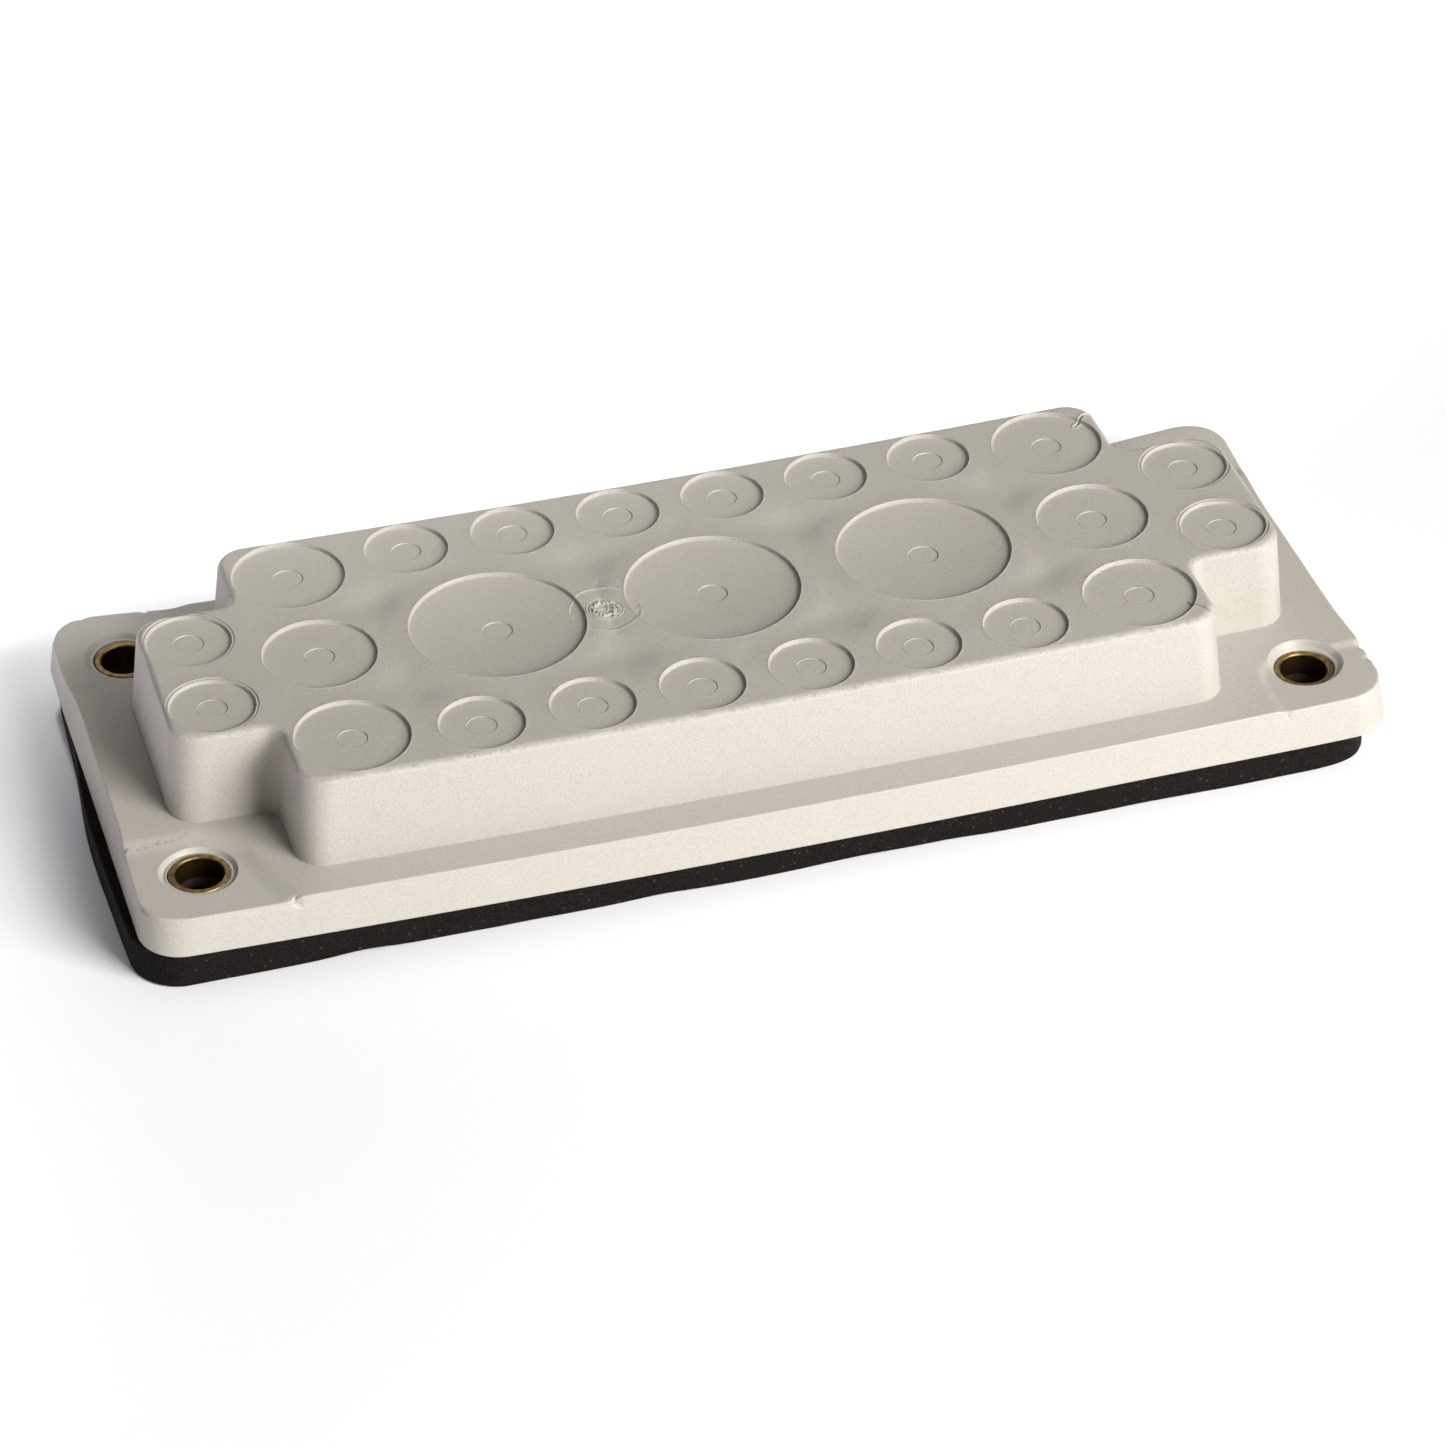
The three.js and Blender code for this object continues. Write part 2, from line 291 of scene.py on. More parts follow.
def recess_profile(rim, sag, ledge):
    """From the axis over the top, down the rim and back along the membrane to the axis."""
    top = BLOCK_TOP
    points = [(0, top + 2 * MM), (rim + 1.2 * MM, top + 2 * MM), (rim + 1.2 * MM, top + 0.4 * MM)]
    if ledge > 0:
        points += [(rim + 0.48 * MM + ledge, top), (rim + 0.42 * MM + ledge, top - 0.6 * ledge)]
        points += [(rim + 0.34 * MM + ledge, top - 0.95 * ledge), (rim + 0.26 * MM + ledge, top - ledge)]
        points += [(rim + 0.12 * MM, top - 1.08 * ledge), (rim + 0.03 * MM, top - 1.4 * ledge)]
        points += [(rim, top - 1.8 * ledge)]
    else:
        points += [(rim + 0.26 * MM, top), (rim + 0.12 * MM, top - 0.04 * MM)]
        points += [(rim + 0.03 * MM, top - 0.12 * MM), (rim, top - 0.24 * MM)]
    floor_z = top - RECESS_DEPTH
    points += [(rim - 0.05 * MM, floor_z + 0.22 * MM), (rim - 0.1 * MM, floor_z + 0.08 * MM)]
    floor_edge = rim - 0.24 * MM
    step_edge = DISC_RADIUS + 0.06 * MM
    rings = max(3, round((floor_edge - DISC_RADIUS) / (1.6 * MM)))
    spread = [floor_edge + (step_edge - floor_edge) * i / rings for i in range(rings + 1)]
    spread = [floor_edge, floor_edge - 0.12 * MM] + spread[1:-1] + [step_edge + 0.12 * MM, step_edge]
    points += [(radius, floor_z - sag * (1 - (radius / floor_edge) ** 2)) for radius in spread]
    disc_z = floor_z - sag - DISC_DEPTH
    points += [(DISC_RADIUS - 0.03 * MM, disc_z - 0.05 * MM), (DISC_RADIUS - 0.1 * MM, disc_z - 0.05 * MM)]
    points += [(DISC_RADIUS - 0.18 * MM, disc_z), (DISC_RADIUS - 0.34 * MM, disc_z), (0, disc_z)]
    return points


def bore_profile(rim, sag):
    """From the axis under the plate, up the flared mouth and the wall to the rounded ceiling."""
    ceiling = BLOCK_TOP - RECESS_DEPTH - MEMBRANE_THICKNESS
    bore = rim - BORE_INSET
    return [
        (0, UNDERSIDE - 1 * MM), (bore + 1.7 * MM, UNDERSIDE - 1 * MM),
        (bore + 0.6 * MM, UNDERSIDE + 0.1 * MM), (bore + 0.25 * MM, UNDERSIDE + 0.7 * MM),
        (bore, ceiling - 1.2 * MM), (bore - 0.1 * MM, ceiling - 0.7 * MM),
        (bore - 0.4 * MM, ceiling - 0.25 * MM), (bore - 1 * MM, ceiling),
        (bore * 0.6, ceiling - sag * 0.6), (0, ceiling - sag),
    ]


def screw_profile():
    """The hole's lip, the sleeve's pocket above it and the flared lead-in above that."""
    sleeve_low, sleeve_high = (Vector(corner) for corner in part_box("sleeve_front_left"))
    lip = SCREW_LIP
    pocket = (sleeve_high.x - sleeve_low.x) / 2 + 0.03 * MM
    return [
        (0, UNDERSIDE - 1 * MM), (lip + 1.3 * MM, UNDERSIDE - 1 * MM), (lip, UNDERSIDE + 0.3 * MM),
        (lip, sleeve_low.z), (pocket, sleeve_low.z),
        (pocket, sleeve_high.z - 0.1 * MM), (pocket + 0.1 * MM, sleeve_high.z + 0.05 * MM),
        (pocket + 0.55 * MM, FLANGE_TOP - 0.9 * MM), (pocket + 0.95 * MM, FLANGE_TOP - 0.25 * MM),
        (pocket + 1.25 * MM, FLANGE_TOP + 0.02 * MM), (pocket + 2.2 * MM, FLANGE_TOP + 0.6 * MM),
        (pocket + 2.2 * MM, FLANGE_TOP + 2 * MM), (0, FLANGE_TOP + 2 * MM),
    ]


def cut_across(bm, axis, places):
    """Cuts a mesh along planes square to x or y, so that it can take a soft shape afterwards."""
    normal = Vector((1, 0, 0)) if axis == 0 else Vector((0, 1, 0))
    for place in places:
        faces = [face for face in bm.faces if face.normal.z > -0.9]
        bmesh.ops.bisect_plane(
            bm, geom=bm.verts[:] + bm.edges[:] + faces, dist=1e-7, plane_co=place * normal, plane_no=normal
        )


def spaced(low, high, step):
    count = max(1, round((high - low) / step))
    return [low + (high - low) * (i + 0.5) / count for i in range(count)]


def mirrored(places):
    return [-place for place in places] + places


def moulded_body():
    sides = [(1, -1), (1, 1), (-1, 1), (-1, -1)]
    flange = drafted_block(
        [(x * HALF_LENGTH, y * HALF_WIDTH) for x, y in sides], UNDERSIDE, FLANGE_TOP, FLANGE_DRAFT
    )
    round_edges(flange, upright, FLANGE_CORNER, 14)
    round_edges(flange, level_at(FLANGE_TOP), FLANGE_EDGE, 4)
    round_edges(flange, level_at(UNDERSIDE), FLANGE_EDGE, 2)
    for depth in (1.1 * MM, 2.4 * MM):
        bmesh.ops.bisect_plane(
            flange, geom=flange.verts[:] + flange.edges[:] + flange.faces[:], dist=1e-7,
            plane_co=(0, 0, FLANGE_TOP - depth), plane_no=(0, 0, 1),
        )
    pads_x = mirrored(spaced(PADS_FROM[0], HALF_LENGTH, PAD_MESH))
    pads_y = mirrored(spaced(PADS_FROM[1], HALF_WIDTH, PAD_MESH))
    cut_across(flange, 0, spaced(-PADS_FROM[0], PADS_FROM[0], FLANGE_MESH[0]) + pads_x)
    cut_across(flange, 1, spaced(-PADS_FROM[1], PADS_FROM[1], FLANGE_MESH[1]) + pads_y)
    outline = cross_corners(BLOCK_END, BLOCK_MAIN)
    block = drafted_block(outline, FLANGE_TOP - BLOCK_ROOT, BLOCK_TOP, BLOCK_DRAFT)
    round_edges(block, lambda e: upright(e) and not in_notch(e), BLOCK_CORNER, 12)
    round_edges(block, lambda e: upright(e) and in_notch(e), BLOCK_NOTCH, 8)
    round_edges(block, level_at(BLOCK_TOP), BLOCK_EDGE, 9)
    cut_across(block, 0, spaced(-BLOCK_END[0], BLOCK_END[0], TOP_MESH))
    cut_across(block, 1, spaced(-BLOCK_MAIN[1], BLOCK_MAIN[1], TOP_MESH))
    return combine(flange, block, "UNION")


def in_notch(edge):
    middle = (edge.verts[0].co + edge.verts[1].co) / 2
    near = 3 * MM
    return abs(abs(middle.x) - BLOCK_MAIN[0]) < near and abs(abs(middle.y) - BLOCK_END[1]) < near


def all_cutters():
    cutters = bmesh.new()
    for x, y, (rim, sag, ledge, steps) in membranes():
        join_into(cutters, turned(recess_profile(rim, sag, ledge), steps, (x, y)))
        join_into(cutters, turned(bore_profile(rim, sag), steps // 2, (x, y)))
    for place in SCREWS:
        join_into(cutters, turned(screw_profile(), 96, place))
    return cutters


# Marks of making and wear on the moulding. Each is a place on the plate and its size.
BOW_AT_END = 1.31 * MM
BOW_REACH = 100 * MM
BOW_SETTLE = 0.75 * MM
BACK_CURL = 1.3 * MM
RIGHT_DROOP = 0.5 * MM
CORNER_FLARE = 0.75 * MM
SINK_DEPTH = 0.68 * MM
RIM_BEAD = 0.075 * MM
RIM_BEAD_PLACE = 0.12 * MM
END_STRETCH = 0.5 * MM
GATE = (-20.3 * MM, -0.6 * MM)
GATE_PAD_RADIUS = 6.4 * MM
GATE_PAD_DEPTH = 0.1 * MM
GATE_SCAR_RADIUS = 2.5 * MM
TEAR_PATH = [
    (79.7 * MM, 29.5 * MM), (80.6 * MM, 30.2 * MM), (82.1 * MM, 31.7 * MM), (83.4 * MM, 31.8 * MM),
]
CRACK_PATH = [
    (79.9 * MM, -29.4 * MM), (80.4 * MM, -31.1 * MM), (81.4 * MM, -32.2 * MM), (82.6 * MM, -33.9 * MM),
]
FLAP_CENTRE = (82.4 * MM, -30.6 * MM)
STREAK_PATH = [
    (-111.5 * MM, -24.4 * MM), (-107 * MM, -23.6 * MM), (-104 * MM, -23.4 * MM), (-101.4 * MM, -22 * MM),
]
# corner pads: edge along x, edge along y, inner corner radius, slant, depth, width of the step
PADS = {
    (-1, -1): (93.2 * MM, 23.6 * MM, 9 * MM, 0.38, 0.80 * MM, 5.0 * MM),
    (1, -1): (93.2 * MM, 29.8 * MM, 6 * MM, 0.0, 0.45 * MM, 2.0 * MM),
    (-1, 1): (93.0 * MM, 24.4 * MM, 9 * MM, 0.3, 0.70 * MM, 4.4 * MM),
    (1, 1): (91.4 * MM, 28.0 * MM, 6 * MM, 0.0, 0.60 * MM, 3.6 * MM),
}
# nicks in the flange's top edge: place in x and y, in mm, and size
NICKS = [
    (-113.6, -39.9, 1.0), (-88.2, -45.2, 1.3), (113.4, -30.6, 1.4), (-107.6, 45.4, 1.2), (-113.4, -23.6, 0.9),
    (113.2, -34.4, 1.1), (94.2, -45.3, 0.7), (110.2, -44.6, 0.8), (-96.0, 45.2, 0.9),
]
NICK_DEPTH = 0.34 * MM
TOP_WAVES = 0.035 * MM
EDGE_WAVES = 0.1 * MM
DIRT_SPOT = (-89.4 * MM, 17.2 * MM)
DIRT_RADIUS = 1.1 * MM
# Value that marks the screw holes' lips for painted shade.
HOLE_SHADE = 30


def smooth(low, high, value):
    t = min(1, max(0, (value - low) / (high - low)))
    return t * t * (3 - 2 * t)


def path_distance(path, x, y):
    nearest = 1.0
    for (ax, ay), (bx, by) in zip(path, path[1:]):
        dx, dy = bx - ax, by - ay
        t = min(1, max(0, ((x - ax) * dx + (y - ay) * dy) / (dx * dx + dy * dy)))
        nearest = min(nearest, math.hypot(x - ax - t * dx, y - ay - t * dy))
    return nearest


RIMS = [(x, y, size[0]) for x, y, size in membranes()]


def web_height(x, y):
    """The skin over a thick web draws down as it cools, and each rim has a fine raised bead."""
    web = min(math.hypot(x - cx, y - cy) - rim for cx, cy, rim in RIMS)
    inner = smooth(0, 9 * MM, 33 * MM - abs(y)) * smooth(0, 9 * MM, 84 * MM - abs(x))
    bead = RIM_BEAD * math.exp(-(((web - RIM_BEAD_PLACE) / (0.06 * MM)) ** 2))
    return bead - SINK_DEPTH * inner * smooth(1.6 * MM, 8.4 * MM, web)


def gate_height(x, y):
    """The gate's round pad, its ripples and the torn stub in its middle."""
    dx, dy = x - GATE[0], y - GATE[1]
    radius = math.hypot(dx, dy)
    if radius > GATE_PAD_RADIUS + 0.5 * MM:
        return 0
    height = -GATE_PAD_DEPTH * (1 - smooth(GATE_PAD_RADIUS - 0.1 * MM, GATE_PAD_RADIUS + 0.1 * MM, radius))
    height += 0.07 * MM * math.exp(-(((radius - GATE_PAD_RADIUS) / (0.14 * MM)) ** 2))
    ripple = smooth(2.5 * MM, 2.8 * MM, radius) * (1 - smooth(3.5 * MM, 3.8 * MM, radius))
    height += 0.06 * MM * ripple * math.sin(radius / (0.085 * MM))
    jagged = noise.fractal(Vector((x, y, 0)) * 1500, 1.0, 2.0, 4)
    ring = math.exp(-(((radius - 0.8 * GATE_SCAR_RADIUS) / (0.42 * MM)) ** 2))
    stub = 1 - smooth(0.9 * GATE_SCAR_RADIUS, 1.12 * GATE_SCAR_RADIUS, radius)
    return height + (0.16 + 0.5 * jagged) * MM * ring * 0.9 + 0.16 * MM * stub * jagged


def split_height(x, y):
    """A torn lip at the back right recess and a fine crack at the front right one."""
    near_tear = path_distance(TEAR_PATH, x, y)
    height = -0.42 * MM * math.exp(-((near_tear / (0.2 * MM)) ** 2))
    height += 0.1 * MM * math.exp(-(((near_tear - 0.45 * MM) / (0.2 * MM)) ** 2))
    near_crack = path_distance(CRACK_PATH, x, y)
    height -= 0.3 * MM * math.exp(-((near_crack / (0.13 * MM)) ** 2))
    flap = math.exp(-(math.hypot(x - FLAP_CENTRE[0], y - FLAP_CENTRE[1]) / (1.1 * MM)) ** 2)
    return height + 0.07 * MM * flap * noise.fractal(Vector((x, y, 3)) * 1700, 1.0, 2.0, 3)


def nick_depth(co):
    depth = 0
    for x, y, size in NICKS:
        away = math.hypot(co.x - x * MM, co.y - y * MM) / (size * MM)
        if away < 1.6:
            ragged = 0.75 + 0.5 * noise.noise(co * 1400)
            depth = max(depth, NICK_DEPTH * size * math.exp(-(away * 1.5) ** 2) * ragged)
    return depth


def past_pad(x, y):
    """How far a place lies outside its corner's lowered pad, and that pad's depth and step width."""
    edge_x, edge_y, radius, slant, depth, ramp = PADS[(1 if x > 0 else -1, 1 if y > 0 else -1)]
    reach_x = edge_x + radius - (abs(x) + slant * max(0, abs(y) - 32.5 * MM))
    reach_y = edge_y + radius - abs(y)
    outside = math.hypot(max(0, reach_x), max(0, reach_y)) + min(0, max(reach_x, reach_y)) - radius
    return outside, depth, ramp


def pad_depth(x, y):
    outside, depth, ramp = past_pad(x, y)
    return depth * (1 - smooth(-ramp / 2, ramp / 2, outside))


def wanted_length(x, y, z):
    """How long a mesh edge may be at a place, shorter where the surface has a small mark."""
    if z > BLOCK_TOP - 1.3 * MM:
        if abs(x - GATE[0]) < 8 * MM and abs(y - GATE[1]) < 8 * MM:
            from_gate = math.hypot(x - GATE[0], y - GATE[1])
            if from_gate < 4 * MM or abs(from_gate - GATE_PAD_RADIUS) < 0.3 * MM:
                return 0.2 * MM
            return 0.9 * MM
        if x > 78.5 * MM and abs(y) > 27 * MM:
            to_split = min(path_distance(TEAR_PATH, x, y), path_distance(CRACK_PATH, x, y))
            if to_split < 0.8 * MM:
                return 0.17 * MM
            if math.hypot(x - FLAP_CENTRE[0], y - FLAP_CENTRE[1]) < 1.4 * MM:
                return 0.3 * MM
            return 0.7 * MM
    elif abs(z - FLANGE_TOP) < 0.1 * MM and x < -100 * MM and path_distance(STREAK_PATH, x, y) < 1 * MM:
        return 0.4 * MM
    elif abs(z - FLANGE_TOP) < 1.3 * MM and (abs(x) > 105 * MM or abs(y) > 42 * MM):
        for nick_x, nick_y, size in NICKS:
            if math.hypot(x - nick_x * MM, y - nick_y * MM) < 1.5 * size * MM:
                return 0.35 * MM
    if abs(z - FLANGE_TOP) < 0.2 * MM and abs(x) > 84 * MM and abs(y) > 20 * MM:
        outside, depth, ramp = past_pad(x, y)
        if abs(outside) < ramp / 2 + 0.5 * MM:
            return 0.3 * ramp
    return 1


def refine_marks(bm):
    for _ in range(5):
        too_long = []
        for edge in bm.edges:
            a = edge.verts[0].co
            if a.z > FLANGE_TOP - 1.3 * MM:
                b = edge.verts[1].co
                if edge.calc_length() > wanted_length((a.x + b.x) / 2, (a.y + b.y) / 2, (a.z + b.z) / 2):
                    too_long.append(edge)
        if not too_long:
            break
        bmesh.ops.subdivide_edges(bm, edges=too_long, cuts=1)
        bmesh.ops.triangulate(bm, faces=[face for face in bm.faces if len(face.verts) > 3])


def bow(x):
    """The soft plate lies slightly bowed: its ends stand up and its middle settles on the foam."""
    return BOW_AT_END * (x / BOW_REACH) ** 2 - BOW_SETTLE


def lean(x, y, share):
    """How far a place on the flange moves up: its back corners curl and its right end hangs a little.

    The share is 0 at the flange's underside and 1 at its top.
    """
    curl = BACK_CURL * smooth(84 * MM, 110 * MM, abs(x)) * smooth(27 * MM, 45 * MM, y)
    return curl - RIGHT_DROOP * smooth(60 * MM, 105 * MM, x) * (1 - share)


def shape_marks(bm):
    """Moves the plate's vertices into its sinks, marks, pads, nicks and the bow it lies in."""
    for vert in bm.verts:
        co = vert.co
        x, y = co.x, co.y
        share = min(1, (co.z - UNDERSIDE) / (FLANGE_TOP - UNDERSIDE))
        top_weight = smooth(BLOCK_TOP - 4 * MM, BLOCK_TOP - 2.6 * MM, co.z)
        if top_weight > 0:
            waves = TOP_WAVES * noise.noise(Vector((x, y, 0)) * 110)
            co.z += top_weight * (waves + web_height(x, y) + gate_height(x, y))
            if x > 78 * MM and abs(y) > 27 * MM:
                co.z += top_weight * split_height(x, y)
        rim_weight = smooth(FLANGE_TOP - 1.5 * MM, FLANGE_TOP - 0.7 * MM, co.z)
        if rim_weight > 0 and co.z < FLANGE_TOP + 0.05 * MM:
            edge_x, edge_y = HALF_LENGTH - FLANGE_DRAFT - abs(x), HALF_WIDTH - FLANGE_DRAFT - abs(y)
            ragged = EDGE_WAVES * noise.noise(co * 260) * (1 - smooth(0.5 * MM, 2 * MM, min(edge_x, edge_y)))
            nick = nick_depth(co)
            co.z -= rim_weight * (pad_depth(x, y) + nick)
            if edge_x < 1 * MM:
                co.x -= math.copysign(nick * 0.8 - ragged, x)
            if edge_y < 1 * MM:
                co.y -= math.copysign(nick * 0.8 - ragged, y)
        rise = min(1, max(0, (co.z - FLANGE_TOP) / BLOCK_HEIGHT))
        co.x += END_STRETCH * rise * smooth(97 * MM, 103 * MM, x)
        if abs(x) > 104 * MM:
            at_corner = smooth(105 * MM, 111 * MM, abs(x)) * smooth(16 * MM, 33 * MM, abs(y))
            co.x += math.copysign(CORNER_FLARE * share * at_corner, x)
        co.z += bow(x) + lean(x, y, share)


def paint_marks(mesh):
    """Grain is strong on the block's walls and faint elsewhere. Dirt sits in a few places and the crack is
    drawn darker.

    Above 5 the value is painted shade down in the screw holes, where little light gets in.
    """
    grain = mesh.attributes.new("grain", "FLOAT", "POINT")
    dirt_and_shade = mesh.attributes.new("dirt_and_shade", "FLOAT", "POINT")
    for vert in mesh.vertices:
        co, up = vert.co, vert.normal.z
        wall = 1 - smooth(0.25, 0.8, abs(up))
        edge = 1 - smooth(0, 0.35, abs(up - 0.72))
        height = co.z - bow(co.x) - lean(co.x, co.y, 1)
        on_front = co.y < 0 and height > BLOCK_TOP - 1.3 * MM
        rough_wall = 0.4 if height > FLANGE_TOP + 0.1 * MM else 0
        grain.data[vert.index].value = 0.4 + rough_wall * wall + (0.9 * edge if on_front else 0)
        from_streak = path_distance(STREAK_PATH, co.x, co.y)
        streak = 1.1 * math.exp(-((from_streak / (0.3 * MM)) ** 2)) if from_streak < 1 * MM else 0
        spot = math.exp(-(math.hypot(co.x - DIRT_SPOT[0], co.y - DIRT_SPOT[1]) / DIRT_RADIUS) ** 2)
        crack = 0
        if height > FLANGE_TOP + 9 * MM:
            crack = math.exp(-((path_distance(CRACK_PATH, co.x, co.y) / (0.35 * MM)) ** 2))
        at_rim = height < FLANGE_TOP + 0.1 * MM
        crumbs = 0.55 * edge if on_front else 0
        from_screw = min(math.hypot(co.x - hole_x, co.y - hole_y) for hole_x, hole_y in SCREWS)
        # Painted shade: the lip deep in each screw hole is coloured dark, where little light reaches.
        in_hole = height < FLANGE_TOP - 2 * MM and from_screw < SCREW_LIP + 0.15 * MM
        worn = streak if at_rim else max(spot, crumbs)
        dirt_and_shade.data[vert.index].value = max(worn, crack, HOLE_SHADE if in_hole else 0)


# Shared effects. Each group reads object coordinates and puts out a value only.
def new_group(name, numbers, results):
    group = bpy.data.node_groups.new(name, "ShaderNodeTree")
    for socket, default in numbers:
        number = group.interface.new_socket(socket, in_out="INPUT", socket_type="NodeSocketFloat")
        number.default_value = default
    for socket in results:
        group.interface.new_socket(socket, in_out="OUTPUT", socket_type="NodeSocketFloat")
    return group, group.nodes.new("NodeGroupInput"), group.nodes.new("NodeGroupOutput")


SPECK_WARP = 0.1 * MM


def maths(tree, operation, first, second):
    return add_node(tree, "ShaderNodeMath", {0: first, 1: second}, operation=operation).outputs[0]


def noise_value(tree, place, scale, detail, roughness=0.5):
    inputs = {"Vector": place, "Scale": scale, "Detail": detail, "Roughness": roughness}
    return add_node(tree, "ShaderNodeTexNoise", inputs).outputs["Fac"]


def remapped(tree, value, low, high, to_low=0.0, to_high=1.0):
    inputs = {"Value": value, "From Min": low, "From Max": high, "To Min": to_low, "To Max": to_high}
    return add_node(tree, "ShaderNodeMapRange", inputs).outputs["Result"]


def speck_group():
    """Stray round specks, one at most in each cell, with only a share of the cells filled."""
    numbers = [("Scale", 120.0), ("Radius", 0.03), ("Share", 0.2)]
    group, given, result = new_group("specks", numbers, ["Mask"])
    place = add_node(group, "ShaderNodeTexCoord").outputs["Object"]
    warp = add_node(group, "ShaderNodeTexNoise", {"Vector": place, "Scale": 2600.0, "Detail": 1.0})
    bent = add_node(
        group, "ShaderNodeVectorMath", {0: warp.outputs["Color"], "Scale": SPECK_WARP}, operation="SCALE"
    )
    moved = add_node(group, "ShaderNodeVectorMath", {0: place, 1: bent.outputs[0]}, operation="ADD")
    cells = add_node(
        group, "ShaderNodeTexVoronoi", {"Vector": moved.outputs[0], "Scale": given.outputs["Scale"]}
    )
    chance = add_node(group, "ShaderNodeSeparateColor", {"Color": cells.outputs["Color"]})
    size = maths(group, "MULTIPLY", chance.outputs["Green"], given.outputs["Radius"])
    inside = maths(group, "LESS_THAN", cells.outputs["Distance"], size)
    kept = maths(group, "LESS_THAN", chance.outputs["Red"], given.outputs["Share"])
    group.links.new(maths(group, "MULTIPLY", inside, kept), result.inputs["Mask"])
    return group


def grain_group():
    """A fine uneven skin: soft bumps with a finer tooth on them."""
    group, given, result = new_group("moulded_grain", [("Scale", 2500.0)], ["Height"])
    place = add_node(group, "ShaderNodeTexCoord").outputs["Object"]
    bumps = noise_value(group, place, given.outputs["Scale"], 3.0, 0.55)
    finer = maths(group, "MULTIPLY", given.outputs["Scale"], 2.7)
    tooth = maths(group, "MULTIPLY", noise_value(group, place, finer, 2.0), 0.35)
    group.links.new(maths(group, "ADD", bumps, tooth), result.inputs["Height"])
    return group


SPECKS = speck_group()
GRAIN = grain_group()


def placed_group(tree, group, values):
    node = tree.nodes.new("ShaderNodeGroup")
    node.node_tree = group
    for socket, value in values.items():
        node.inputs[socket].default_value = value
    return node


def mixed(tree, factor, first, second):
    node = tree.nodes.new("ShaderNodeMix")
    node.data_type = "RGBA"
    for socket, value in ((node.inputs[0], factor), (node.inputs[6], first), (node.inputs[7], second)):
        if isinstance(value, bpy.types.NodeSocket):
            tree.links.new(value, socket)
        else:
            socket.default_value = value
    return node.outputs[2]


def elastomer_material():
    material, tree = new_material("elastomer_light_grey")
    place = add_node(tree, "ShaderNodeTexCoord").outputs["Object"]
    grain = add_node(tree, "ShaderNodeAttribute", attribute_name="grain")
    dirt_and_shade = add_node(tree, "ShaderNodeAttribute", attribute_name="dirt_and_shade")
    cloud = noise_value(tree, place, 45.0, 3.0, 0.6)
    mottle = noise_value(tree, place, 2300.0, 3.0)
    base = mixed(tree, cloud, (0.377, 0.354, 0.316, 1), (0.403, 0.382, 0.344, 1))
    base = mixed(tree, remapped(tree, mottle, 0.3, 0.7), base, (0.449, 0.426, 0.386, 1))
    specks = placed_group(tree, SPECKS, {"Scale": 90.0, "Radius": 0.02, "Share": 0.25})
    base = mixed(tree, specks.outputs["Mask"], base, (0.17, 0.14, 0.115, 1))
    pale = placed_group(tree, SPECKS, {"Scale": 170.0, "Radius": 0.03, "Share": 0.15})
    base = mixed(tree, pale.outputs["Mask"], base, (0.52, 0.5, 0.45, 1))
    ragged = noise_value(tree, place, 900.0, 5.0, 0.75)
    dirt = maths(tree, "MULTIPLY", dirt_and_shade.outputs["Fac"], remapped(tree, ragged, 0.47, 0.64, 0.03, 0.75))
    base = mixed(tree, dirt, base, (0.13, 0.11, 0.095, 1))
    # Painted shade: a near black colour on the screw holes' lips.
    hole_shade = remapped(tree, dirt_and_shade.outputs["Fac"], 5.0, 28.0)
    base = mixed(tree, hole_shade, base, (0.045, 0.034, 0.026, 1))
    rough = remapped(tree, grain.outputs["Fac"], 0.4, 1.0, 0.4, 0.62)
    skin = placed_group(tree, GRAIN, {"Scale": 2300.0})
    height = maths(tree, "MULTIPLY", skin.outputs["Height"], grain.outputs["Fac"])
    bump = add_node(
        tree, "ShaderNodeBump", {"Height": height, "Strength": 1.0, "Distance": 0.12 * MM}
    )
    shader = add_node(
        tree, "ShaderNodeBsdfPrincipled",
        {"Base Color": base, "Roughness": rough, "Specular IOR Level": 0.4,
         "Normal": bump.outputs["Normal"]},
    )
    add_node(tree, "ShaderNodeOutputMaterial", {"Surface": shader.outputs["BSDF"]})
    return material


def finish_shading(piece, sharp_angle):
    for polygon in piece.data.polygons:
        polygon.use_smooth = True
    piece.data.set_sharp_from_angle(angle=math.radians(sharp_angle))
    weighted = piece.modifiers.new("even_normals", "WEIGHTED_NORMAL")
    weighted.keep_sharp = True


plate_bm = combine(moulded_body(), all_cutters(), "DIFFERENCE")
bmesh.ops.triangulate(plate_bm, faces=plate_bm.faces[:], quad_method="BEAUTY", ngon_method="BEAUTY")
refine_marks(plate_bm)
shape_marks(plate_bm)
plate = new_object("elastomer_plate", plate_bm)
paint_marks(plate.data)
finish_shading(plate, PLATE_SHARP_ANGLE)
plate.data.materials.append(elastomer_material())
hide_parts("membrane_plate")
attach(plate, "root")

# ---------------------------------------------------------------------------
# Brass sleeves. Four plain turned tubes that sit in the flange's corners and
# keep a tightened screw from crushing the soft plate.
# ---------------------------------------------------------------------------
SLEEVE_WALL = 1.15 * MM
SLEEVE_INNER_CHAMFER = 0.22 * MM
SLEEVE_OUTER_CHAMFER = 0.1 * MM


